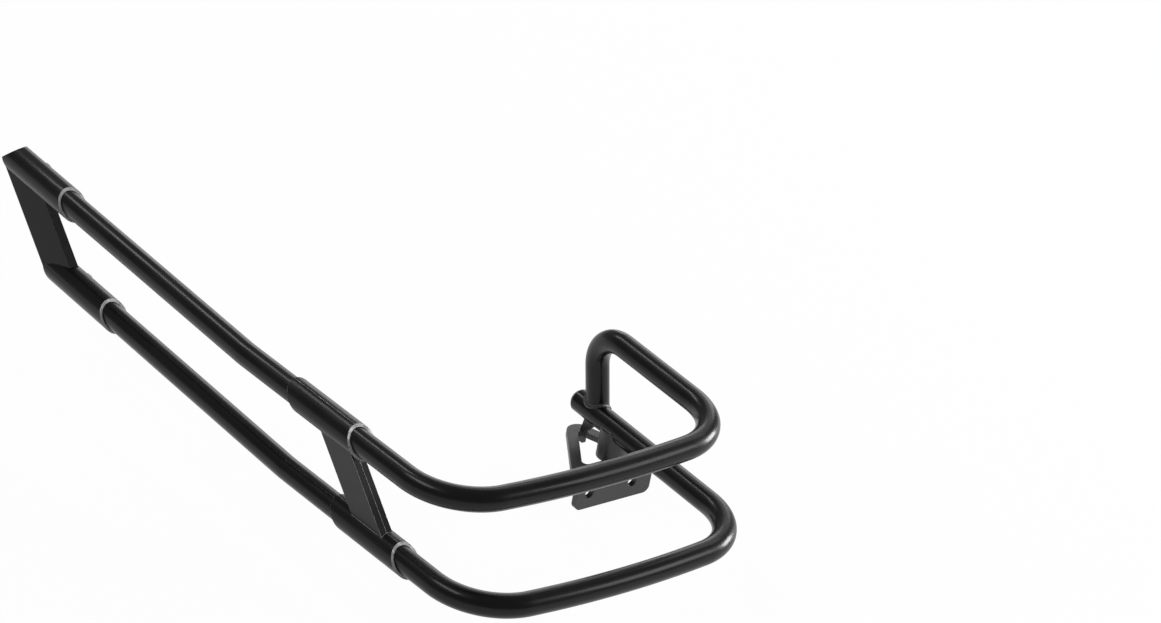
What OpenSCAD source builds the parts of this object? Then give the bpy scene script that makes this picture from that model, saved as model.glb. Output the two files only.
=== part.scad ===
// Saddlebag guard rail for the right side of a touring motorbike.
// Frame: +X is forward along the bike, +Y is inboard and +Z is up.
// The origin is midway between the two bracket holes, on the front face of the bracket.

/* [Tubes] */
// Outside diameter of both guard tubes
tube_d = 19; // [17:0.5:21]
// Wall of both guard tubes
tube_wall = 2; // [1.2:0.1:2.6]
// Height between the axes of the upper and the lower rail
rail_drop = 75; // [68:1:84]
// How far the lower rail stands inboard of the upper rail
rail_step = 14.5; // [10:0.5:18]
// Rake of every sleeve end and web edge from upright
rake = 35.5; // [30:0.5:38]
// Centre line radius of the four loop corners
corner_r = 55; // [48:1:62]
// Angle by which each rail turns inboard behind its loop
kink_angle = 3.5; // [2:0.5:5]
// Centre line radius of that slight turn
kink_r = 70; // [50:5:110]
// How far each front section turns from its end to its middle
bow_angle = 5.5; // [4:0.5:7]

/* [Upper loop] */
// Front corner of the upper loop ahead of the bracket face
upper_ahead = 113; // [100:1:125]
// Width of the upper loop between its rail axis and its inner leg axis
upper_w = 285.5; // [265:0.5:310]
// Rail length from the slight turn to the front corner
upper_run = 237; // [225:1:250]
// Length from the front corner back to the drop leg
upper_back = 168; // [160:1:176]
// Centre line radius of the bend into the drop leg
drop_r = 31; // [27:1:35]
// How far the drop leg leans forward down to the lower rail
lean_x = 9; // [6:0.5:11]
// How far the drop leg leans inboard down to the lower rail
lean_y = 9.5; // [6:0.5:11]

/* [Lower loop] */
// Front corner of the lower loop ahead of the bracket face
lower_ahead = 147; // [137:1:157]
// Rail length from the slight turn to the front corner of the lower loop
lower_run = 221; // [211:1:231]
// How far the lower inner leg stands inboard of the upper one
inner_step = 6; // [3:0.5:8]
// How far the lower tube runs past the axis of the drop leg
stub_len = 18; // [15:1:24]
// Height of the dome on the closed end of that tube
dome_h = 6; // [3:0.5:8]
// Length of the spigot of that closed end in the tube
spigot_len = 8; // [5:1:12]

/* [Sleeves] */
// Wall of the cast sleeves round the tubes
sleeve_wall = 2.1; // [1.8:0.1:2.8]
// Gap all round between a tube and its sleeve
sleeve_clear = 0.15; // [0.05:0.05:0.3]

/* [Rear cap] */
// Rear end of the cap behind the bracket face, on the upper axis
cap_behind = 450; // [435:1:475]
// Length of each sleeve of the cap along its tube
cap_len = 84; // [78:1:94]
// Rear end of the cap to the rear end of a tube, along the rails
cap_end = 14; // [12:0.5:18]
// Length of the raked web of the cap along the rails
cap_web_w = 31; // [27:1:36]
// Outer face of that web outboard of the rail axes, at its front edge
cap_web_out = 1.5; // [1:0.5:4]
// Inner face of that web inboard of the rail axes, at its front edge
cap_web_in = 6; // [4:0.5:8]
// Thickness of the rear end of the web
cap_rear_wall = 5; // [4:0.5:7]
// Thickness of the skin and of the front edge of the web, round its pocket
cap_wall = 3; // [2.2:0.1:3.6]
// Height that the pocket leaves standing on each sleeve
cap_rib = 1; // [0.6:0.1:2]
// Rear end of the cap to its screws, along the rails
cap_screw_in = 30; // [28:1:34]
// Length of the flat on the inner side of each cap sleeve
cap_flat_len = 48; // [44:1:54]
// Depth of that flat
cap_flat_depth = 0.7; // [0.4:0.1:1]

/* [Mid trim] */
// Slight turn of the upper rail to the rear end of the mid trim
trim_ahead = 66.5; // [50:0.5:80]
// Length of each sleeve of the mid trim
trim_len = 72; // [66:1:84]
// Length of the raked web of the mid trim along the rails
trim_web_w = 35.5; // [29:0.5:42]
// Front edge of that web behind the front ends of the sleeves
trim_web_back = 14; // [10:0.5:18]
// Outer face of that web outboard of the rail axes
trim_web_out = 5.5; // [5.3:0.1:7]
// Inner face of that web inboard of the rail axes
trim_web_in = 5; // [4:0.5:7]
// Trim screws to the nearer rail axis
trim_screw_in = 22; // [20:1:26]
// Diameter of the round recess for each trim screw
recess_d = 15; // [13:0.5:17]
// Depth of that recess
recess_depth = 1.8; // [1.2:0.1:2.4]

/* [Screws] */
// Thread diameter of the cap and trim screws
screw_d = 5; // [4:0.5:6]
// Gap all round between a screw and its thread
screw_clear = 0.05; // [0.02:0.01:0.15]
// Gap all round between a screw and a plain hole
hole_clear = 0.25; // [0.15:0.05:0.5]
// Head diameter of the screws
head_d = 10; // [8.5:0.5:11]
// Head height of the screws
head_h = 2.8; // [2.2:0.1:3.2]
// Width across the flats of the hexagon socket in each head
socket_w = 3; // [2.5:0.5:4]
// Depth of that socket
socket_depth = 1.7; // [1.2:0.1:2]
// Thread length of a cap screw
cap_screw_len = 12; // [10:0.5:14]
// Thread length of a trim screw
trim_screw_len = 7.5; // [6:0.1:7.7]
// Length of the threaded plug in the rear end of each tube
plug_len = 26; // [20:1:30]
// Gap all round between a tube bore and the plug or spigot in it
plug_clear = 0.1; // [0.05:0.05:0.2]

/* [Bracket] */
// Thickness of the bracket plate
plate_t = 5; // [4:0.5:6]
// Distance between the two bracket holes
hole_pitch = 43; // [39:1:47]
// Diameter of the two bracket holes
hole_d = 8.5; // [6.5:0.5:10]
// Lower edge of the plate below the holes
plate_below = 13.5; // [11:0.5:17]
// Outboard edge of the plate past the outboard hole
plate_out = 12.5; // [10:0.5:16]
// Inboard edge of the plate past the inboard hole
plate_in = 19.5; // [14:0.5:23]
// Radius of the lower corners of the plate
plate_corner_r = 6; // [4:0.5:9]
// Upper face of the shelf above the holes
shelf_up = 16.5; // [15:0.5:19]
// Inside radius of the bend between plate and shelf
bend_r = 6; // [4:0.5:7]
// Radius of the rounded rear tip of the shelf
tip_r = 11; // [10:0.5:13]
// Centre of that tip behind the bracket face
tip_behind = 57; // [54:1:60]
// Width of the band round the opening of the shelf
band_w = 9; // [8:0.5:10]
// Radius of the corners of that opening
opening_r = 4; // [3:0.5:5]
// Front edge of that opening behind the bracket face
opening_behind = 15; // [13:0.5:17]
// Axis of the lower inner leg inboard of the middle of the holes
tube_inboard = 10.5; // [6:0.5:14]
// Clear height between the shelf and the lower tube
boss_gap = 15.5; // [13:0.5:20]
// Diameter of the round boss that fills this height
boss_d = 24; // [20:1:26]
// Centre of the boss behind the bracket face
boss_behind = 18; // [16:0.5:20]
// Thickness of the tail strap below the drop leg
strap_t = 4; // [3:0.5:5]
// Width of the tail strap under the lower tube
strap_root_w = 18; // [14:1:20]
// Width of the tail strap where it passes the shelf
strap_w = 5; // [4:0.5:6]
// How far the tail strap reaches below the shelf
strap_below = 5; // [2:0.5:10]

/* [Hidden] */
$fn = 96;

// How far cuts run past the faces they open, and how far long cutting bodies reach
past = 1;
reach = 60;
// Length of the discs that join the lengths of a tube, and how much wider they are
seam_len = 0.2;
seam_rise = 0.01;
// How much fuller a round corner is than the edges that run into it
corner_rise = 0.02;
// Room below the end of a screw in its blind hole
blind_room = 0.4;

gloss = [0.05, 0.05, 0.055];
satin = [0.1, 0.1, 0.105];
zinc = [0.16, 0.16, 0.165];

// Sizes of the tubes and sleeves
tube_r = tube_d / 2;
bore_r = tube_r - tube_wall;
sleeve_bore_r = tube_r + sleeve_clear;
sleeve_r = sleeve_bore_r + sleeve_wall;

// Places of the rails and inner legs
lower_inner_y = tube_inboard;
upper_inner_y = lower_inner_y - inner_step;
upper_y = upper_inner_y - upper_w;
lower_y = upper_y + rail_step;
lower_w = lower_inner_y - lower_y;
lower_z = shelf_up + boss_gap + tube_r;
upper_z = lower_z + rail_drop;
rake_shift = rail_drop * tan(rake);

// Each loop in plan: slight turn, straight run, corner, bowed front, corner, inner leg.
// The radius of the bow is the one that brings the loop to its width.
function tangent(r, a) = r * tan(a / 2);
corner_1 = 90 - kink_angle - bow_angle;
corner_2 = 90 - bow_angle;
kink_t = tangent(kink_r, kink_angle);
function run_straight(run) = run - kink_t - tangent(corner_r, corner_1);
function bow_r(run, w) = (w - kink_r * (1 - cos(kink_angle))
    - run_straight(run) * sin(kink_angle)
    - corner_r * (cos(kink_angle) + 1 - 2 * sin(bow_angle))) / (2 * sin(bow_angle));
function kink_x(ahead, run) = ahead - run * cos(kink_angle);
function front_x(ahead, run) = kink_x(ahead, run) - kink_t + kink_r * sin(kink_angle)
    + run_straight(run) * cos(kink_angle) + corner_r * (cos(bow_angle) - sin(kink_angle));
function inner_x(ahead, run) = front_x(ahead, run) - corner_r * cos(bow_angle);

// Rear ends of the tubes, which stand in the rear cap
upper_kink_x = kink_x(upper_ahead, upper_run);
lower_kink_x = kink_x(lower_ahead, lower_run);
upper_rear_x = cap_end - cap_behind;
lower_rear_x = upper_rear_x + rake_shift;

// The drop leg: its heading follows from its lean
leg = [lean_x, lean_y, -rail_drop];
drop_turn = 90 + asin(lean_x / norm(leg));
drop_roll = atan2(-rail_drop, -lean_y);
drop_t = tangent(drop_r, drop_turn);
drop_x = upper_ahead - upper_back;
foot_x = drop_x + lean_x;
foot_y = upper_inner_y + lean_y;

// Steps of a run: straight length, roll before the bend, bend radius, bend angle
function loop_steps(rear_x, ahead, run, w) = [
    [kink_x(ahead, run) - kink_t - rear_x, 0, kink_r, kink_angle],
    [run_straight(run), 0, corner_r, corner_1],
    [0, 0, bow_r(run, w), 2 * bow_angle],
    [0, 0, corner_r, corner_2]];
upper_steps = concat(loop_steps(upper_rear_x, upper_ahead, upper_run, upper_w), [
    [inner_x(upper_ahead, upper_run) - drop_x - drop_t, drop_roll, drop_r, drop_turn],
    [norm(leg) - drop_t, 0, 0, 0]]);
lower_steps = concat(loop_steps(lower_rear_x, lower_ahead, lower_run, lower_w), [
    [inner_x(lower_ahead, lower_run) - foot_x + stub_len, 0, 0, 0]]);
lower_end_x = foot_x - stub_len;

// Rear cap and mid trim share a frame: X along the rails, Z from the lower to the upper axis
cap_pitch = norm([rail_step, rail_drop]);
cap_roll = atan(rail_step / rail_drop);
trim_step = rail_step * cos(kink_angle) - (lower_kink_x - upper_kink_x) * sin(kink_angle);
trim_pitch = norm([trim_step, rail_drop]);
trim_roll = atan(trim_step / rail_drop);
trim_shift = trim_pitch * tan(rake);
trim_web_x = trim_len - trim_web_back;
cap_flat_y = sleeve_r - cap_flat_depth;
cap_skin_inset = 0.6;
cap_skin_y = cap_skin_inset - sleeve_r;
function cap_skin(x) = cap_skin_y - x * (cap_skin_y + cap_web_out) / cap_web_w;
head_edge = head_h / 6;
head_sphere_r = (pow(head_d / 2, 2) + pow(head_h - head_edge, 2)) / (2 * (head_h - head_edge));

// Places of the bracket
plate_y0 = -hole_pitch / 2 - plate_out;
plate_y1 = hole_pitch / 2 + plate_in;
bend_out_r = bend_r + plate_t;
bend_x = -bend_out_r;
bend_z = shelf_up - bend_out_r;
tip_y = tube_inboard;
strap_y = foot_y;
strap_x = -tip_behind - strap_w / 2;
dome_r = (pow(tube_r, 2) + pow(dome_h, 2)) / (2 * dome_h);

// A round bar along X
module bar(length, r) {
    rotate([0, 90, 0]) cylinder(h = length, r = r);
}

module ring(outer, inner) {
    difference() {
        circle(r = outer);
        circle(r = inner);
    }
}

// A run of straights and bends, from the step with the given number on. Where two lengths
// meet, a disc a hair wider than the bar makes one solid of them.
module run(steps, r, i = 0) {
    if (i < len(steps)) {
        step = steps[i];
        straight = step[0];
        bend = step[2];
        angle = step[3];
        if (straight > 0) bar(straight, r);
        if (i > 0) translate([-seam_len / 2, 0, 0]) bar(seam_len, r + seam_rise);
        translate([straight, 0, 0]) rotate([step[1], 0, 0]) {
            if (angle > 0) {
                translate([0, bend, 0]) rotate([0, 0, -90]) rotate_extrude(angle = angle, $fn = 180)
                    translate([bend, 0]) circle(r = r, $fn = 96);
                if (straight > 0) translate([-seam_len / 2, 0, 0]) bar(seam_len, r + seam_rise);
            }
            translate([bend * sin(angle), bend * (1 - cos(angle)), 0])
                rotate([0, 0, angle]) run(steps, r, i + 1);
        }
    }
}

module tube(steps) {
    difference() {
        run(steps, tube_r);
        run(steps, bore_r);
    }
}

module upper_start() {
    translate([upper_rear_x, upper_y, upper_z]) children();
}

module lower_start() {
    translate([lower_rear_x, lower_y, lower_z]) children();
}

// The full round of the lower inner leg, for what is shaped to it
module lower_leg_round() {
    translate([lower_end_x - reach, lower_inner_y, lower_z]) bar(reach * 4, tube_r);
}

// Frame of the rear cap, with its origin on the upper axis at the rear end of the cap
module cap_frame() {
    translate([-cap_behind, upper_y, upper_z]) rotate([cap_roll, 0, 0]) children();
}

// Frame of the mid trim, with its origin on the upper axis at the rear end of the trim
module trim_frame() {
    translate([upper_kink_x, upper_y, upper_z]) rotate([0, 0, kink_angle])
        translate([trim_ahead, 0, 0]) rotate([trim_roll, 0, 0]) children();
}

// A raked slab across the guard, between two places on the upper axis
module slab(x0, x1, pitch, shift, y0, y1, over) {
    slope = shift / pitch;
    top = over;
    low = -pitch - over;
    translate([0, y1, 0]) rotate([90, 0, 0]) linear_extrude(y1 - y0)
        polygon([[x0 - slope * top, top], [x0 - slope * low, low],
            [x1 - slope * low, low], [x1 - slope * top, top]]);
}

// Round bars along both rail axes of a cap or trim frame
module both_rails(r, pitch, x0, x1) {
    for (z = [0, -pitch]) translate([x0, 0, z]) bar(x1 - x0, r);
}

// A button head screw with its seat at the origin, its head towards +Y
module button_screw(length) {
    rotate([-90, 0, 0]) difference() {
        union() {
            intersection() {
                cylinder(h = head_h, d = head_d);
                translate([0, 0, head_h - head_sphere_r]) sphere(r = head_sphere_r);
            }
            translate([0, 0, -length]) cylinder(h = length + head_h / 2, d = screw_d);
        }
        translate([0, 0, head_h - socket_depth]) cylinder(h = head_h, d = socket_w / cos(30), $fn = 6);
    }
}

// Places of the cap screws and the trim screws in their frames
module at_cap_screw(i) {
    translate([cap_screw_in + i * rake_shift, cap_flat_y, -i * cap_pitch]) children();
}

module at_trim_screw(i) {
    z = i == 0 ? -trim_screw_in : trim_screw_in - trim_pitch;
    translate([trim_web_x - trim_web_w / 2 - z * trim_shift / trim_pitch,
        trim_web_in - recess_depth, z]) children();
}

module cap_screw_hole(i, clear) {
    cap_frame() at_cap_screw(i) rotate([90, 0, 0])
        translate([0, 0, -past]) cylinder(h = cap_screw_len + 2 * past, d = screw_d + 2 * clear);
}

module upper_rail() {
    color(gloss) difference() {
        upper_start() tube(upper_steps);
        lower_leg_round();
        cap_screw_hole(0, hole_clear);
    }
}

module lower_rail() {
    color(gloss) difference() {
        lower_start() tube(lower_steps);
        cap_screw_hole(1, hole_clear);
    }
}

// Domed end of the lower tube, with a spigot in its bore
module stub_plug() {
    color(gloss) translate([lower_end_x, lower_inner_y, lower_z]) {
        bar(spigot_len, bore_r - plug_clear);
        intersection() {
            translate([dome_r - dome_h, 0, 0]) sphere(r = dome_r);
            translate([-dome_h, 0, 0]) bar(dome_h, tube_r);
        }
    }
}

// Outline of the tail strap from the side
module strap_outline() {
    top = lower_z - tube_r / 2;
    polygon([[foot_x - tube_r, top], [foot_x - tube_r + strap_root_w, top],
        [strap_x + strap_w, shelf_up], [strap_x + strap_w, shelf_up - plate_t - strap_below],
        [strap_x, shelf_up - plate_t - strap_below], [strap_x, shelf_up]]);
}

module strap_body() {
    translate([0, strap_y + strap_t / 2, 0]) rotate([90, 0, 0]) linear_extrude(strap_t)
        strap_outline();
}

module tail_strap() {
    color(satin) difference() {
        strap_body();
        lower_leg_round();
    }
}

// A convex outline grown by a radius, with round corners
module rounded(points, r) {
    n = len(points);
    polygon(points);
    for (i = [0:n - 1]) {
        a = points[i];
        b = points[(i + 1) % n];
        side = [b[1] - a[1], a[0] - b[0]] * r / norm(b - a);
        translate(a) circle(r = r + corner_rise);
        polygon([a, b, b + side, a + side]);
    }
}

// Point where the line from a corner touches the tip circle, on the side that turn gives
function touch(corner, turn) = let (
    tip = [-tip_behind, tip_y], d = corner - tip, l = norm(d),
    a = atan2(d[1], d[0]) + turn * acos(tip_r / l)) tip + tip_r * [cos(a), sin(a)];

module shelf_outline() {
    out_corner = [bend_x, plate_y0];
    in_corner = [bend_x, plate_y1];
    translate([-tip_behind, tip_y]) circle(r = tip_r + corner_rise);
    polygon([out_corner, in_corner, touch(in_corner, 1), [-tip_behind, tip_y],
        touch(out_corner, -1)]);
}

// Direction square to that edge of the shelf, and the point on a line that runs inside the
// edge at the band width, for a place along X
function edge_normal(corner, turn) = (touch(corner, turn) - [-tip_behind, tip_y]) / tip_r;
function inside_y(n, x) = tip_y + (tip_r - band_w - opening_r - (x + tip_behind) * n[0]) / n[1];

// Opening of the shelf: a triangle that follows the edges of the shelf at the band width
module shelf_opening() {
    out_n = edge_normal([bend_x, plate_y0], -1);
    in_n = edge_normal([bend_x, plate_y1], 1);
    front = -opening_behind - opening_r;
    rear = (tip_r - band_w - opening_r) * (in_n[1] - out_n[1])
        / (out_n[0] * in_n[1] - out_n[1] * in_n[0]) - tip_behind;
    rounded([[rear, inside_y(in_n, rear)], [front, inside_y(out_n, front)],
        [front, inside_y(in_n, front)]], opening_r);
}

// Upright part of the plate, seen from the front
module plate_outline() {
    difference() {
        rounded([[plate_y0 + plate_corner_r, plate_corner_r - plate_below],
            [plate_y1 - plate_corner_r, plate_corner_r - plate_below],
            [plate_y1 - plate_corner_r, bend_z + reach],
            [plate_y0 + plate_corner_r, bend_z + reach]], plate_corner_r);
        translate([plate_y0 - past, bend_z])
            square([plate_y1 - plate_y0 + 2 * past, reach * 2]);
    }
}

module bracket_plate() {
    color(satin) difference() {
        union() {
            translate([-plate_t, 0, 0]) rotate([90, 0, 90]) linear_extrude(plate_t) plate_outline();
            translate([bend_x, plate_y1, bend_z]) rotate([90, 0, 0])
                linear_extrude(plate_y1 - plate_y0) intersection() {
                    ring(bend_out_r, bend_r);
                    square(bend_out_r + past);
                }
            translate([0, 0, shelf_up - plate_t]) linear_extrude(plate_t) shelf_outline();
        }
        for (y = [-1, 1]) translate([-plate_t - past, y * hole_pitch / 2, 0]) rotate([0, 90, 0])
            cylinder(h = plate_t + 2 * past, d = hole_d);
        translate([0, 0, shelf_up - plate_t - past]) linear_extrude(plate_t + 2 * past)
            shelf_opening();
        strap_body();
    }
}

module boss() {
    color(satin) difference() {
        translate([-boss_behind, lower_inner_y, shelf_up]) cylinder(h = boss_gap + tube_r, d = boss_d);
        lower_leg_round();
        translate([-boss_behind - boss_d, lower_inner_y - boss_d, lower_z])
            cube([boss_d * 2, boss_d * 2, tube_d]);
    }
}

// A prism along the rake of the cap, between two heights. Its outline gives X along the
// upper axis and Y across the guard.
module raked_prism(outline, top, low) {
    turn = atan(rake_shift / cap_pitch);
    intersection() {
        rotate([0, -turn, 0]) translate([0, 0, -reach * 3]) linear_extrude(reach * 6)
            polygon([for (p = outline) [p[0] * cos(turn), p[1]]]);
        translate([-reach * 2, -reach, low]) cube([reach * 6, reach * 2, top - low]);
    }
}

// The web: a skin that slants from the outer face of the sleeves to its front edge
module cap_web() {
    raked_prism([[-past, cap_skin(-past)], [cap_web_w, cap_skin(cap_web_w)],
        [cap_web_w, cap_web_in], [cap_rear_wall, sleeve_r + past], [-past, sleeve_r + past]],
        0, -cap_pitch);
}

// The pocket behind that skin, open on the inner side
module cap_pocket() {
    front = cap_web_w - cap_wall;
    raked_prism([[cap_rear_wall, cap_skin(cap_rear_wall) + cap_wall],
        [front, cap_skin(front) + cap_wall], [front, sleeve_r + past],
        [cap_rear_wall, sleeve_r + past]], -sleeve_r - cap_rib, sleeve_r + cap_rib - cap_pitch);
}

module rear_cap() {
    slab_over = sleeve_r + past;
    color(zinc) cap_frame() difference() {
        intersection() {
            union() {
                both_rails(sleeve_r, cap_pitch, -reach, cap_len + rake_shift + reach);
                cap_web();
            }
            slab(0, cap_len, cap_pitch, rake_shift, -slab_over, slab_over, slab_over);
        }
        for (i = [0, 1]) translate([cap_end + i * rake_shift, 0, -i * cap_pitch])
            bar(cap_len + reach, sleeve_bore_r);
        slab(-reach, cap_flat_len, cap_pitch, rake_shift, cap_flat_y, cap_flat_y + reach, slab_over);
        cap_pocket();
        for (i = [0, 1]) at_cap_screw(i) rotate([90, 0, 0]) translate([0, 0, -past])
            cylinder(h = sleeve_r, d = screw_d + 2 * hole_clear);
    }
}

module rail_plug(i) {
    cap_frame() difference() {
        translate([cap_screw_in + i * rake_shift - plug_len / 2, 0, -i * cap_pitch])
            bar(plug_len, bore_r - plug_clear);
        at_cap_screw(i) rotate([90, 0, 0])
            cylinder(h = cap_screw_len + past, d = screw_d + 2 * screw_clear);
    }
}

module rail_plug_upper() {
    color("silver") rail_plug(0);
}

module rail_plug_lower() {
    color("silver") rail_plug(1);
}

module cap_screw_upper() {
    color(gloss) cap_frame() at_cap_screw(0) button_screw(cap_screw_len);
}

module cap_screw_lower() {
    color(gloss) cap_frame() at_cap_screw(1) button_screw(cap_screw_len);
}

// Both trim sleeves and the web between them, as far as they lie between two planes across
module trim_half(y0, y1) {
    difference() {
        intersection() {
            union() {
                both_rails(sleeve_r, trim_pitch, -reach, trim_len + trim_shift + reach);
                slab(trim_web_x - trim_web_w, trim_web_x, trim_pitch, trim_shift,
                    -trim_web_out, trim_web_in, 0);
            }
            slab(0, trim_len, trim_pitch, trim_shift, y0, y1, sleeve_r + past);
        }
        both_rails(sleeve_bore_r, trim_pitch, -reach, trim_len + trim_shift + reach);
    }
}

module mid_trim_outer() {
    color(zinc) trim_frame() difference() {
        trim_half(-sleeve_r - past, 0);
        for (i = [0, 1]) at_trim_screw(i) rotate([90, 0, 0])
            cylinder(h = trim_screw_len + blind_room, d = screw_d + 2 * screw_clear);
    }
}

module mid_trim_inner() {
    color(zinc) trim_frame() difference() {
        trim_half(0, sleeve_r + past);
        for (i = [0, 1]) at_trim_screw(i) {
            rotate([-90, 0, 0]) cylinder(h = recess_depth + past, d = recess_d);
            rotate([90, 0, 0]) translate([0, 0, -past])
                cylinder(h = sleeve_r, d = screw_d + 2 * hole_clear);
        }
    }
}

module trim_screw_upper() {
    color(gloss) trim_frame() at_trim_screw(0) button_screw(trim_screw_len);
}

module trim_screw_lower() {
    color(gloss) trim_frame() at_trim_screw(1) button_screw(trim_screw_len);
}

upper_rail();
lower_rail();
stub_plug();
tail_strap();
bracket_plate();
boss();
rear_cap();
cap_screw_upper();
cap_screw_lower();
rail_plug_upper();
rail_plug_lower();
mid_trim_outer();
mid_trim_inner();
trim_screw_upper();
trim_screw_lower();
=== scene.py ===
"""Looks of a saddlebag guard rail: two bent tubes in gloss black, cast sleeves and a bracket.

Lengths are written in millimetres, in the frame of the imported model, and made metres when a
mesh is built. +X is forward along the bike, +Y inboard and +Z up.
"""

import math

import bmesh
import bpy
import numpy as np
from mathutils import Matrix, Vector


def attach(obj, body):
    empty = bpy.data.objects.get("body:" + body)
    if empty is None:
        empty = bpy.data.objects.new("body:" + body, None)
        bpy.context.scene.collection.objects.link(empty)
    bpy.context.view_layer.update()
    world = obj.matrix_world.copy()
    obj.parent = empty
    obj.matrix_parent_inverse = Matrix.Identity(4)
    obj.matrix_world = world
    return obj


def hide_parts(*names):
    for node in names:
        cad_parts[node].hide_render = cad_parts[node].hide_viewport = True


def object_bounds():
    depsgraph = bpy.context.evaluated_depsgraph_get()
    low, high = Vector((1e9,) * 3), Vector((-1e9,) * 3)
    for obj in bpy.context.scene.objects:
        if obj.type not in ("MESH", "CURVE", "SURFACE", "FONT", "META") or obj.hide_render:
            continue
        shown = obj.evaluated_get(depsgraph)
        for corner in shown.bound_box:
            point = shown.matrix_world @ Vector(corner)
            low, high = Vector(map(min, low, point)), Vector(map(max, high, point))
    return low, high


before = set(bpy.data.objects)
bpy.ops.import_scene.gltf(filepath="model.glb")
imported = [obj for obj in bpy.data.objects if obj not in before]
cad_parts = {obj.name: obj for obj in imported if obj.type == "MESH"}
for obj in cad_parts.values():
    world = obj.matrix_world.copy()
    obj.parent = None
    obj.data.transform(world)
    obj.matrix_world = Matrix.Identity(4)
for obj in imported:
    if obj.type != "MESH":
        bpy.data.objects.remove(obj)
cad_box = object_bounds()

MM = 0.001
BODY = "root"

# ---------------------------------------------------------------- camera
EYE = (2175.3825, -2123.5347, 1825.8978)
LOOK = (-0.63642009, 0.60140507, -0.48299214)
ROLL = 10.91215
LENS, SENSOR, CLIP_END = 140.66471, 36.0, 50.0


def aim(eye, look, roll=0.0):
    """Matrix of a camera or lamp: its axes are right, up and back, turned round the view."""
    back = -np.array(look) / np.linalg.norm(look)
    right = np.cross((0.0, 0.0, 1.0), back)
    right /= np.linalg.norm(right)
    up = np.cross(back, right)
    c, s = math.cos(math.radians(roll)), math.sin(math.radians(roll))
    axes = np.stack([c * right + s * up, c * up - s * right, back], axis=1)
    matrix = np.eye(4)
    matrix[:3, :3] = axes
    matrix[:3, 3] = np.array(eye) * MM
    return Matrix(matrix.tolist())


camera = bpy.data.objects.new("camera", bpy.data.cameras.new("camera"))
bpy.context.scene.collection.objects.link(camera)
camera.matrix_world = aim(EYE, LOOK, ROLL)
camera.data.lens = LENS
camera.data.sensor_width = SENSOR
camera.data.sensor_fit = "HORIZONTAL"
camera.data.clip_end = CLIP_END
bpy.context.scene.camera = camera

# ---------------------------------------------------------------- shader maths


class Value:
    """A socket that takes part in sums, and adds the Math node of each one."""

    def __init__(self, nodes, socket):
        self.nodes, self.socket = nodes, socket

    def _sum(self, operation, first, second, clamp=False):
        settings = {"operation": operation, "use_clamp": clamp}
        return self.nodes.node("ShaderNodeMath", settings, {0: first, 1: second})

    def __add__(self, other):
        return self._sum("ADD", self, other)

    def __sub__(self, other):
        return self._sum("SUBTRACT", self, other)

    def __rsub__(self, other):
        return self._sum("SUBTRACT", other, self)

    def __mul__(self, other):
        return self._sum("MULTIPLY", self, other)

    __radd__, __rmul__ = __add__, __mul__

    def or_more(self, other):
        """The larger of the two."""
        return self._sum("MAXIMUM", self, other)

    def above(self, low, high):
        """0 below low, 1 above high and a straight slope between."""
        return self._sum("MULTIPLY", self - low, 1.0 / (high - low), clamp=True)


class Nodes:
    """A node tree under construction."""

    def __init__(self, tree):
        self.tree = tree

    def node(self, kind, settings=None, inputs=None, output=0):
        """A new node, with its settings first and then the values or links of its sockets."""
        made = self.tree.nodes.new(kind)
        for key, setting in (settings or {}).items():
            setattr(made, key, setting)
        for key, given in (inputs or {}).items():
            self.feed(made.inputs[key], given)
        return Value(self, made.outputs[output])

    def feed(self, socket, given):
        if isinstance(given, Value):
            self.tree.links.new(given.socket, socket)
        else:
            socket.default_value = given


class Paint(Nodes):
    """A material under construction, with its Principled shader."""

    def __init__(self, name, **plain):
        self.material = bpy.data.materials.new(name)
        self.material.use_nodes = True
        super().__init__(self.material.node_tree)
        self.shader = self.tree.nodes["Principled BSDF"]
        for socket, number in plain.items():
            self.put(socket.replace("_", " "), number)

    def put(self, socket, given):
        self.feed(self.shader.inputs[socket], given)

    def noise(self, texture):
        """Noise on Object coordinates, which are metres in the model's frame."""
        per_metre, detail, rough = texture
        place = self.node("ShaderNodeTexCoord", output="Object")
        return self.node(
            "ShaderNodeTexNoise",
            {"noise_dimensions": "3D"},
            {"Vector": place, "Scale": per_metre, "Detail": detail, "Roughness": rough},
        )

    def mix(self, share, first, second):
        """Two colours mixed; 6 and 7 are the node's colour inputs and 2 its colour output."""
        inputs = {"Factor": share, 6: first, 7: second}
        return self.node("ShaderNodeMix", {"data_type": "RGBA"}, inputs, output=2)

    def bump(self, height, strength, distance, under=None):
        """A Normal from a height, on top of the Normal under it."""
        inputs = {"Height": height, "Strength": strength, "Distance": distance}
        if under is not None:
            inputs["Normal"] = under
        return self.node("ShaderNodeBump", {}, inputs)


def grey(level, tint=0.0):
    """A grey that leans to blue by its tint."""
    return (level, level * (1 + tint * 0.5), level * (1 + tint), 1.0)


# ---------------------------------------------------------------- finishes
# A texture is its scale per metre, its detail and its roughness.
HAZE, SPECKS, STREAKS = (14.0, 3.0, 0.6), (2600.0, 1.0, 0.5), (90.0, 4.0, 0.65)
PEEL, GRAIN = (620.0, 2.0, 0.5), (1900.0, 3.0, 0.6)
PEEL_DEPTH, GRAIN_DEPTH = 0.0004, 0.0002
WEAR, RIPPLED, RIPPLE_DEPTH = (160.0, 4.0, 0.7), (420.0, 3.0, 0.6), 0.0005
DUST_LEVEL, BEAD_DARK, BEAD_PALE = 2.6, 0.012, 0.03


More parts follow.
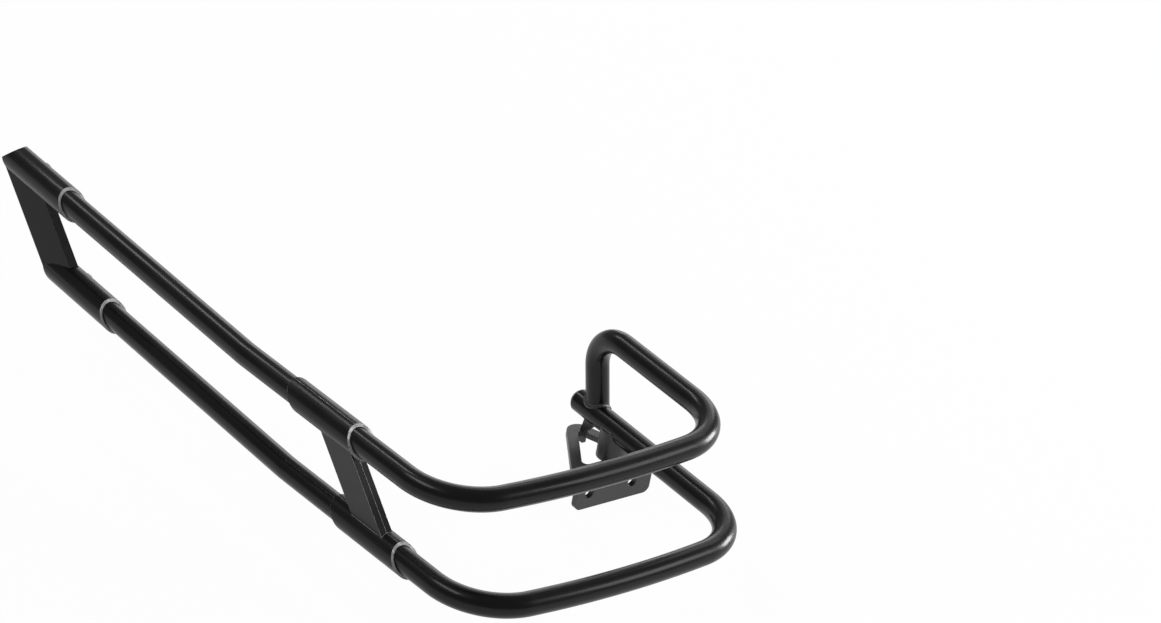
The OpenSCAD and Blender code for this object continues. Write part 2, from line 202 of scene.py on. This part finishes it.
def black_coat(name, level, rough, peel, coat, grain=0.0, shine=0.22):
    """Black powder coat: an orange peel skin, patches of haze and a little fine dust."""
    paint = Paint(name, Metallic=0.0, Coat_Roughness=0.08, Specular_IOR_Level=shine)
    paint.put("Coat Weight", coat)
    haze = paint.noise(HAZE).above(0.42, 0.68)
    specks = paint.noise(SPECKS).above(0.70, 0.78)
    streaks = paint.noise(STREAKS).above(0.5, 0.75)
    clean, dusty = grey(level, 0.05), grey(level * DUST_LEVEL, 0.04)
    paint.put("Base Color", paint.mix(specks * 0.35 + haze * 0.3, clean, dusty))
    paint.put("Roughness", rough + haze * 0.09 + streaks * 0.05 + specks * 0.15)
    skin = paint.bump(paint.noise(PEEL), peel, PEEL_DEPTH)
    if grain:
        skin = paint.bump(paint.noise(GRAIN), grain, GRAIN_DEPTH, skin)
    paint.put("Normal", skin)
    return paint.material


def rim_wear_and_painted_highlight(name, level):
    """Coat thinned along an edge, where the metal starts to show through in patches; at a pale
    level its colour is also a painted highlight, the shine of lit rims.
    """
    paint = Paint(name, Coat_Roughness=0.1)
    thin = paint.noise(WEAR).above(0.38, 0.66)
    paint.put("Base Color", paint.mix(thin, grey(level * 0.45), grey(level, 0.02)))
    paint.put("Metallic", 0.1 + thin * 0.25)
    paint.put("Roughness", 0.42 - thin * 0.12)
    return paint.material


def bead_coat(name):
    """Coated weld metal: satin black, paler on the crests of the ripples."""
    paint = Paint(name, Coat_Roughness=0.15)
    paint.put("Coat Weight", 0.25)
    spread = paint.noise(RIPPLED)
    crests = spread.above(0.4, 0.7)
    paint.put("Base Color", paint.mix(crests, grey(BEAD_DARK), grey(BEAD_PALE)))
    paint.put("Roughness", 0.3 + spread * 0.25)
    paint.put("Normal", paint.bump(spread, 0.35, RIPPLE_DEPTH))
    return paint.material


GLOSS = black_coat("gloss_black_tube", level=0.0040, rough=0.27, peel=0.012, coat=0.12)
SATIN = black_coat(
    "satin_black_plate", level=0.030, rough=0.40, peel=0.10, coat=0.05, grain=0.12, shine=0.5
)
CAST = black_coat(
    "gloss_black_casting", level=0.0045, rough=0.30, peel=0.03, coat=0.10, grain=0.03
)
HEAD = black_coat("gloss_black_screw", level=0.012, rough=0.24, peel=0.03, coat=0.15)
STEEL = rim_wear_and_painted_highlight("turned_steel", 0.5)
# Its pale colour is a painted highlight on the sleeve ends and eased rims, with patches of worn
# coat.
PAINTED_HIGHLIGHT_RIM = rim_wear_and_painted_highlight("rim_wear_and_painted_highlight", 0.8)
PLATE_EDGE = rim_wear_and_painted_highlight("worn_plate_edge", 0.10)
BEAD = bead_coat("coated_weld")

# ---------------------------------------------------------------- tubes


def sin(degrees):
    return math.sin(math.radians(degrees))


def cos(degrees):
    return math.cos(math.radians(degrees))


def tan(degrees):
    return math.tan(math.radians(degrees))


# The sizes of the solids. A loop has the x of its front corner, the run from the kink to that
# corner, its width, and the y and z of its long side. The drop leg runs from the upper loop
# down to FOOT on the axis of the lower tube, which goes on behind it as the stub.
TUBE_R, TUBE_SIDES = 9.5, 64
RAIL_DROP, RAKE = 75.0, 35.5
CORNER_R, KINK_R, KINK, BOW, DROP_R = 55.0, 70.0, 3.5, 5.5, 31.0
UPPER = {"ahead": 113.0, "run": 237.0, "width": 285.5, "y": -281.0, "z": 116.5}
LOWER = {"ahead": 147.0, "run": 221.0, "width": 277.0, "y": -266.5, "z": 41.5}
REAR_X = -436.0
RAKE_SHIFT = RAIL_DROP * tan(RAKE)
DROP_X, LEAN_X, LEAN_Y = -55.0, 9.0, 9.5
STUB, INNER_Y = 18.0, 10.5
FOOT = np.array([DROP_X + LEAN_X, UPPER["y"] + UPPER["width"] + LEAN_Y, LOWER["z"]])
LEG = np.array([LEAN_X, LEAN_Y, -RAIL_DROP])
STRAIGHT_GAP, ARC_GAP = 4.0, 1.6
DOUBLES, SMOOTH_UP_TO = 1e-6, 30.0


def loop_steps(rail, rear_x):
    """Steps of a hook in plan, each a straight length, a roll, a bend radius and a bend angle.

    The radius of the bowed front is the one that brings the hook to its width. The second
    value is the x at which the hook's last bend ends."""
    first, last = 90 - KINK - BOW, 90 - BOW
    kink_x = rail["ahead"] - rail["run"] * cos(KINK)
    kink_t = KINK_R * tan(KINK / 2)
    straight = rail["run"] - kink_t - CORNER_R * tan(first / 2)
    bow_r = (
        rail["width"] - KINK_R * (1 - cos(KINK)) - straight * sin(KINK)
        - CORNER_R * (cos(KINK) + 1 - 2 * sin(BOW))
    ) / (2 * sin(BOW))
    inner_x = kink_x - kink_t + (KINK_R - CORNER_R) * sin(KINK) + straight * cos(KINK)
    steps = [
        (kink_x - kink_t - rear_x, 0.0, KINK_R, KINK),
        (straight, 0.0, CORNER_R, first),
        (0.0, 0.0, bow_r, 2 * BOW),
        (0.0, 0.0, CORNER_R, last),
    ]
    return steps, inner_x


def spun(axis, angles):
    """Rotation matrices round an axis, one for each angle: 1 + sin a K + (1 - cos a) K K."""
    x, y, z = axis
    k = np.array([[0.0, -z, y], [z, 0.0, -x], [-y, x, 0.0]])
    angles = np.atleast_1d(angles)[:, None, None]
    return np.eye(3) + np.sin(angles) * k + (1 - np.cos(angles)) * (k @ k)


def centre_line(start, steps):
    """Points and carried frames along straights and arcs.

    An arc's points are its start + radius * (sin a, 1 - cos a) in its own plane, and the frame
    that carries the profile turns with the arc but not with the roll before it."""
    place, heading, carried = np.array(start, float), np.eye(3), np.eye(3)
    points, frames = [place[None]], [carried[None]]
    for straight, roll, radius, angle in steps:
        if straight > 0:
            count = max(2, int(straight / STRAIGHT_GAP))
            along = np.linspace(0, straight, count + 1)[1:]
            points.append(place + along[:, None] * heading[:, 0])
            frames.append(np.repeat(carried[None], count, axis=0))
            place = points[-1][-1]
        heading = heading @ spun((1, 0, 0), math.radians(roll))[0]
        if angle > 0:
            count = max(4, int(math.radians(angle) * radius / ARC_GAP))
            turned = np.linspace(0, math.radians(angle), count + 1)[1:]
            flat = radius * np.stack([np.sin(turned), 1 - np.cos(turned), 0 * turned], axis=1)
            points.append(place + flat @ heading.T)
            turns = spun(heading[:, 2], turned)
            frames.append(turns @ carried)
            carried = turns[-1] @ carried
            heading = turns[-1] @ heading
            place = points[-1][-1]
    return np.concatenate(points), np.concatenate(frames)


def surface(name, grid, wrap_along=False):
    """A mesh from a grid of points, round in its second direction.

    Along its first direction it closes into a ring or is capped at both ends."""
    rows, sides = grid.shape[:2]
    index = np.arange(rows * sides).reshape(rows, sides)
    ahead = np.roll(index, -1, axis=0)[: rows if wrap_along else rows - 1]
    here = index if wrap_along else index[:-1]
    quads = np.stack([here, ahead, np.roll(ahead, -1, axis=1), np.roll(here, -1, axis=1)], axis=2)
    faces = quads.reshape(-1, 4).tolist()
    if not wrap_along:
        faces += [index[0].tolist(), index[-1][::-1].tolist()]
    mesh = bpy.data.meshes.new(name)
    mesh.from_pydata((grid.reshape(-1, 3) * MM).tolist(), [], faces)
    mesh.update()
    return mesh


def tidy(mesh):
    """Doubles merged and faces turned outwards."""
    work = bmesh.new()
    work.from_mesh(mesh)
    bmesh.ops.remove_doubles(work, verts=work.verts, dist=DOUBLES)
    bmesh.ops.recalc_face_normals(work, faces=work.faces)
    work.to_mesh(mesh)
    work.free()


def piece(mesh, materials, replaces=(), smooth=SMOOTH_UP_TO):
    """A finished piece: shaded smooth up to an angle, riding on the guard."""
    made = bpy.data.objects.new(mesh.name, mesh)
    bpy.context.scene.collection.objects.link(made)
    for material in materials:
        mesh.materials.append(material)
    mesh.shade_smooth()
    mesh.set_sharp_from_angle(angle=math.radians(smooth))
    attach(made, BODY)
    if replaces:
        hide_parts(*replaces)
    return made


def rail(name, steps, start):
    """A tube: circles of its radius round each point, in the plane square to the path."""
    points, frames = centre_line(start, steps)
    around = np.linspace(0, 2 * math.pi, TUBE_SIDES, endpoint=False)[None, :, None]
    ring = np.cos(around) * frames[:, None, :, 1] + np.sin(around) * frames[:, None, :, 2]
    mesh = surface(name + "_tube", points[:, None] + TUBE_R * ring)
    tidy(mesh)
    piece(mesh, [GLOSS], [name])


upper_steps, upper_inner_x = loop_steps(UPPER, REAR_X)
drop_turn = 90 + math.degrees(math.asin(LEAN_X / np.linalg.norm(LEG)))
drop_t = DROP_R * tan(drop_turn / 2)
drop_roll = math.degrees(math.atan2(-RAIL_DROP, -LEAN_Y))
upper_steps += [
    (upper_inner_x - DROP_X - drop_t, drop_roll, DROP_R, drop_turn),
    (float(np.linalg.norm(LEG)) - drop_t, 0.0, 0.0, 0.0),
]
lower_steps, lower_inner_x = loop_steps(LOWER, REAR_X + RAKE_SHIFT)
lower_steps.append((lower_inner_x - FOOT[0] + STUB, 0.0, 0.0, 0.0))
rail("upper_rail", upper_steps, (REAR_X, UPPER["y"], UPPER["z"]))
rail("lower_rail", lower_steps, (REAR_X + RAKE_SHIFT, LOWER["y"], LOWER["z"]))

# ---------------------------------------------------------------- weld beads
RIPPLE, SWELL, FLATNESS, BEAD_SIDES = 2.2, 0.16, 0.72, 14
TAPER, TAPER_LEAST, BEAD_SMOOTH = 9, 0.02, 80.0
SADDLE_POINTS, SIDE_POINTS = 220, 60
LEG_BEAD, BOSS_BEAD, STRAP_BEAD = 2.0, 1.5, 1.3
BOSS_X, BOSS_R, STRAP_T, STRAP_ROOT = -18.0, 12.0, 4.0, 18.0


def bead(name, path, normal, width, closed=False):
    """A weld bead: a flattened round carried along a path, swelling once for each ripple.

    Its half width is width * (1 + SWELL |sin|) along the path. An open bead tapers to its
    ends, as the square root of the share of the way from the nearer end."""
    ahead = np.gradient(path, axis=0)
    if closed:
        ahead = np.roll(path, -1, axis=0) - np.roll(path, 1, axis=0)
    step = np.linalg.norm(ahead, axis=1, keepdims=True)
    ahead /= step
    along = np.cumsum(step[:, 0])
    normal = normal - np.sum(normal * ahead, axis=1, keepdims=True) * ahead
    normal /= np.linalg.norm(normal, axis=1, keepdims=True)
    side = np.cross(ahead, normal)
    swell = 1 + SWELL * np.abs(np.sin(math.pi * along / RIPPLE))
    if not closed:
        share = np.linspace(0, 1, len(path))
        swell *= np.sqrt(np.clip(np.minimum(share, 1 - share) * TAPER, TAPER_LEAST, 1))
    around = np.linspace(0, 2 * math.pi, BEAD_SIDES, endpoint=False)[None, :, None]
    ring = np.cos(around) * side[:, None] + np.sin(around) * FLATNESS * normal[:, None]
    grid = path[:, None] + width * ring * swell[:, None, None]
    mesh = surface(name, grid, wrap_along=closed)
    tidy(mesh)
    piece(mesh, [BEAD], smooth=BEAD_SMOOTH)


def saddle(axis, foot):
    """Where a round leg meets the round lower tube, which runs along X: path and normals.

    A point of the leg is foot + TUBE_R * (cos a e1 + sin a e2) + t axis, and t solves the
    square equation that puts it on the tube, on the side the leg comes from."""
    axis = axis / np.linalg.norm(axis)
    first = np.cross(axis, (0.0, 1.0, 0.0))
    first /= np.linalg.norm(first)
    second = np.cross(axis, first)
    turned = np.linspace(0, 2 * math.pi, SADDLE_POINTS, endpoint=False)
    out = np.cos(turned)[:, None] * first + np.sin(turned)[:, None] * second
    from_tube = foot + TUBE_R * out - np.array([0.0, INNER_Y, LOWER["z"]])
    a = axis[1] ** 2 + axis[2] ** 2
    b = from_tube[:, 1] * axis[1] + from_tube[:, 2] * axis[2]
    c = from_tube[:, 1] ** 2 + from_tube[:, 2] ** 2 - TUBE_R ** 2
    t = (-b + np.sqrt(np.clip(b * b - a * c, 0, None))) / a
    path = foot + TUBE_R * out + t[:, None] * axis
    from_axis = np.stack([0 * t, path[:, 1] - INNER_Y, path[:, 2] - LOWER["z"]], axis=1)
    return path, from_axis / TUBE_R + out


def side_bead(name, x0, x1, y, width):
    """A straight bead along the lower tube, where something wider or lower meets its side."""
    z = LOWER["z"] - math.sqrt(max(TUBE_R ** 2 - (y - INNER_Y) ** 2, 0.0))
    along = np.linspace(x0, x1, SIDE_POINTS)
    path = np.stack([along, 0 * along + y, 0 * along + z], axis=1)
    outward = math.copysign(1.0, y - INNER_Y)
    normal = np.tile((0.0, outward, 1.0 if z == LOWER["z"] else -0.6), (SIDE_POINTS, 1))
    bead(name, path, normal, width)


bead("leg_weld", *saddle(-LEG, FOOT), LEG_BEAD, closed=True)
half = math.sqrt(BOSS_R ** 2 - TUBE_R ** 2)
side_bead("boss_weld_outer", BOSS_X - half, BOSS_X + half, INNER_Y - TUBE_R, BOSS_BEAD)
side_bead("boss_weld_inner", BOSS_X - half, BOSS_X + half, INNER_Y + TUBE_R, BOSS_BEAD)
strap_start = FOOT[0] - TUBE_R + 1.0
strap_end = strap_start + STRAP_ROOT - 2.0
side_bead("strap_weld_inner", strap_start, strap_end, FOOT[1] + STRAP_T / 2, STRAP_BEAD)
side_bead("strap_weld_outer", strap_start, strap_end, FOOT[1] - STRAP_T / 2, STRAP_BEAD)

# ---------------------------------------------------------------- eased solids
CAST_EASE, PLATE_EASE, BOSS_EASE, STRAP_EASE, PLUG_EASE, SCREW_EASE = 0.6, 0.5, 0.5, 0.4, 0.4, 0.2
EASE_SEGMENTS, EASE_FROM, EASED_SMOOTH = 2, 28.0, 24.0
CAD_DOUBLES, FLAT_WITHIN, END_REACH = 2e-6, 0.4, 0.3
CAP_REAR_X, CAP_LEN, TRIM_AHEAD, TRIM_LEN = -450.0, 84.0, 66.5, 72.0
# The cut-back tip starts TIP_UP above the upper axis, and runs TIP_SLOPE forwards for each
# step up.
TIP_UP, TIP_SLOPE = 3.0, 1.1


def raked_frame(origin, turn, step):
    """Origin and axes of a casting: X along the rails, Z from the lower to the upper axis.

    The step is how far the lower axis lies inboard of the upper one. The last value is how
    far the raked planes run forwards for each step down."""
    roll = math.degrees(math.atan(step / RAIL_DROP))
    along = np.array([cos(turn), sin(turn), 0.0])
    across = np.array([-sin(turn), cos(turn), 0.0])
    up = np.array([0.0, 0.0, 1.0])
    side, upward = cos(roll) * across + sin(roll) * up, cos(roll) * up - sin(roll) * across
    return np.array(origin), np.stack([along, side, upward], axis=1), tan(RAKE)


RAIL_STEP = LOWER["y"] - UPPER["y"]
UPPER_KINK, LOWER_KINK = (loop["ahead"] - loop["run"] * cos(KINK) for loop in (UPPER, LOWER))
# The cap's planes run forwards by RAKE_SHIFT from one axis to the other, along the slant
# between them.
CAP = raked_frame((CAP_REAR_X, UPPER["y"], UPPER["z"]), 0.0, RAIL_STEP)
CAP = CAP[:2] + (RAKE_SHIFT / math.hypot(RAIL_DROP, RAIL_STEP),)
TRIM_X, TRIM_Y = UPPER_KINK + TRIM_AHEAD * cos(KINK), UPPER["y"] + TRIM_AHEAD * sin(KINK)
TRIM_STEP = RAIL_STEP * cos(KINK) - (LOWER_KINK - UPPER_KINK) * sin(KINK)
TRIM = raked_frame((TRIM_X, TRIM_Y, UPPER["z"]), KINK, TRIM_STEP)


def bevelled_tip(work):
    """The top of the upper sleeve's rear end, cut back forwards from just above its axis."""
    origin, axes, slope = CAP
    place = origin + axes @ (-TIP_UP * slope, 0.0, TIP_UP)
    cut = bmesh.ops.bisect_plane(
        work,
        geom=work.verts[:] + work.edges[:] + work.faces[:],
        dist=DOUBLES,
        plane_co=(place * MM).tolist(),
        plane_no=(axes @ (-1.0, 0.0, TIP_SLOPE)).tolist(),
        clear_outer=True,
    )
    rim = [item for item in cut["geom_cut"] if isinstance(item, bmesh.types.BMEdge)]
    bmesh.ops.holes_fill(work, edges=rim)


def mark_ends(work, casting, ahead, index):
    """The pale rim material on the front ends of the sleeves, which share one raked plane: a
    painted highlight with patches of worn coat.
    """
    origin, axes, slope = casting
    for face in work.faces:
        spots = (np.array([vert.co[:] for vert in face.verts]) / MM - origin) @ axes
        if np.all(np.abs(spots[:, 0] + spots[:, 2] * slope - ahead) < END_REACH):
            face.material_index = index


def eased(node, materials, width, ends=None, shape=None):
    """A CAD solid with its edges eased by a small bevel, whose faces take the last material.

    Its shape is changed before the sleeve ends are marked."""
    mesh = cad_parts[node].data.copy()
    mesh.name = node + "_eased"
    mesh.materials.clear()
    work = bmesh.new()
    work.from_mesh(mesh)
    bmesh.ops.remove_doubles(work, verts=work.verts, dist=CAD_DOUBLES)
    bmesh.ops.dissolve_limit(
        work,
        angle_limit=math.radians(FLAT_WITHIN),
        verts=work.verts,
        edges=work.edges,
        delimit=set(),
    )
    if shape:
        shape(work)
    if ends:
        mark_ends(work, *ends, len(materials) - 1)
    work.to_mesh(mesh)
    work.free()
    ease = piece(mesh, materials, [node], EASED_SMOOTH).modifiers.new("ease", "BEVEL")
    ease.limit_method = "ANGLE"
    ease.angle_limit = math.radians(EASE_FROM)
    ease.width = width * MM
    ease.segments = EASE_SEGMENTS
    ease.use_clamp_overlap = True
    ease.harden_normals = True
    ease.material = len(materials) - 1


# The castings' eased edges and sleeve ends take the pale rim, a painted highlight with patches of
# worn coat.
eased(
    "rear_cap", [CAST, PAINTED_HIGHLIGHT_RIM], CAST_EASE, ends=(CAP, CAP_LEN), shape=bevelled_tip
)
for half_trim in ("mid_trim_outer", "mid_trim_inner"):
    eased(half_trim, [CAST, PAINTED_HIGHLIGHT_RIM], CAST_EASE, ends=(TRIM, TRIM_LEN))
eased("bracket_plate", [SATIN, PLATE_EDGE], PLATE_EASE)
eased("boss", [SATIN], BOSS_EASE)
eased("tail_strap", [SATIN, PLATE_EDGE], STRAP_EASE)
# The screws' eased edges take the pale rim too, a painted highlight with patches of worn coat.
for screw in ("cap_screw_upper", "cap_screw_lower", "trim_screw_upper", "trim_screw_lower"):
    eased(screw, [HEAD, PAINTED_HIGHLIGHT_RIM], SCREW_EASE)
eased("stub_plug", [GLOSS], PLUG_EASE)
for plug in ("rail_plug_upper", "rail_plug_lower"):
    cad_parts[plug].data.materials[0] = STEEL

# ---------------------------------------------------------------- floor, lamps and world
# What a gloss mirrors of the white ground is less than what the camera sees, so that the
# black coat stays black.
SKY_BY_GLOSS, FLOOR_BY_GLOSS = 0.12, 0.9
SKY_WHITE, SKY_LIGHT = 0.85, 0.15
FLOOR_OWN_WHITE, FLOOR_LEVEL, FLOOR_ROUGH = 0.97, 0.95, 0.9
FLOOR_REACH, FLOOR_BELOW = 12.0, 0.0005


def backdrop_rays(nodes, by_gloss):
    """1 for rays from the camera and through glass, by_gloss for mirrored ones, 0 for light."""
    seen, mirrored, through = (
        nodes.node("ShaderNodeLightPath", output=kind)
        for kind in ("Is Camera Ray", "Is Glossy Ray", "Is Transmission Ray")
    )
    return seen.or_more(mirrored * by_gloss).or_more(through)


def pale_floor():
    """White floor that is mostly its own white to the camera and keeps a soft shadow."""
    paint = Paint("pale_floor", Specular_IOR_Level=0.0)
    paint.put("Base Color", (FLOOR_LEVEL, FLOOR_LEVEL, FLOOR_LEVEL, 1.0))
    paint.put("Roughness", FLOOR_ROUGH)
    own_white = paint.node("ShaderNodeEmission", {}, {"Strength": 1.0})
    share = backdrop_rays(paint, FLOOR_BY_GLOSS) * FLOOR_OWN_WHITE
    lit = Value(paint, paint.shader.outputs[0])
    both = paint.node("ShaderNodeMixShader", {}, {0: share, 1: lit, 2: own_white})
    paint.feed(paint.tree.nodes["Material Output"].inputs["Surface"], both)
    return paint.material


floor_mesh = bpy.data.meshes.new("floor")
floor_z = cad_box[0][2] - FLOOR_BELOW
corners = ((-1, -1), (1, -1), (1, 1), (-1, 1))
floor_mesh.from_pydata(
    [(x * FLOOR_REACH, y * FLOOR_REACH, floor_z) for x, y in corners], [], [(0, 1, 2, 3)]
)
floor = bpy.data.objects.new("floor", floor_mesh)
bpy.context.scene.collection.objects.link(floor)
floor_mesh.materials.append(pale_floor())

world = bpy.data.worlds.new("studio")
bpy.context.scene.world = world
world.use_nodes = True
sky = Nodes(world.node_tree)
background = sky.tree.nodes["Background"]
sky.feed(background.inputs["Strength"], backdrop_rays(sky, SKY_BY_GLOSS) * SKY_WHITE + SKY_LIGHT)
background.inputs["Color"].default_value = (1.0, 1.0, 1.0, 1.0)

CENTRE = np.array((-0.15, -0.14, 0.06))


def lamp(name, place, size, watts):
    """A rectangular soft lamp at a place in metres, turned towards the part's centre."""
    data = bpy.data.lights.new(name, "AREA")
    data.shape = "RECTANGLE"
    data.size, data.size_y = size
    data.energy = watts
    made = bpy.data.objects.new(name, data)
    bpy.context.scene.collection.objects.link(made)
    made.matrix_world = aim(np.array(place) / MM, CENTRE - np.array(place))


lamp("key", place=(-0.6, -1.9, 2.6), size=(1.8, 0.5), watts=20.0)
lamp("streak", place=(-2.05, -0.5, 2.35), size=(0.4, 1.4), watts=13.0)
lamp("face", place=(1.8, 1.66, 1.38), size=(1.0, 1.0), watts=15.0)
lamp("side", place=(0.6, 2.6, 0.6), size=(1.0, 0.9), watts=60.0)
lamp("back", place=(-1.2, 2.0, 2.4), size=(2.2, 0.7), watts=8.0)
lamp("wall", place=(-1.9, 2.1, 0.85), size=(1.6, 1.3), watts=13.0)

bpy.context.scene.view_settings.view_transform = "Standard"
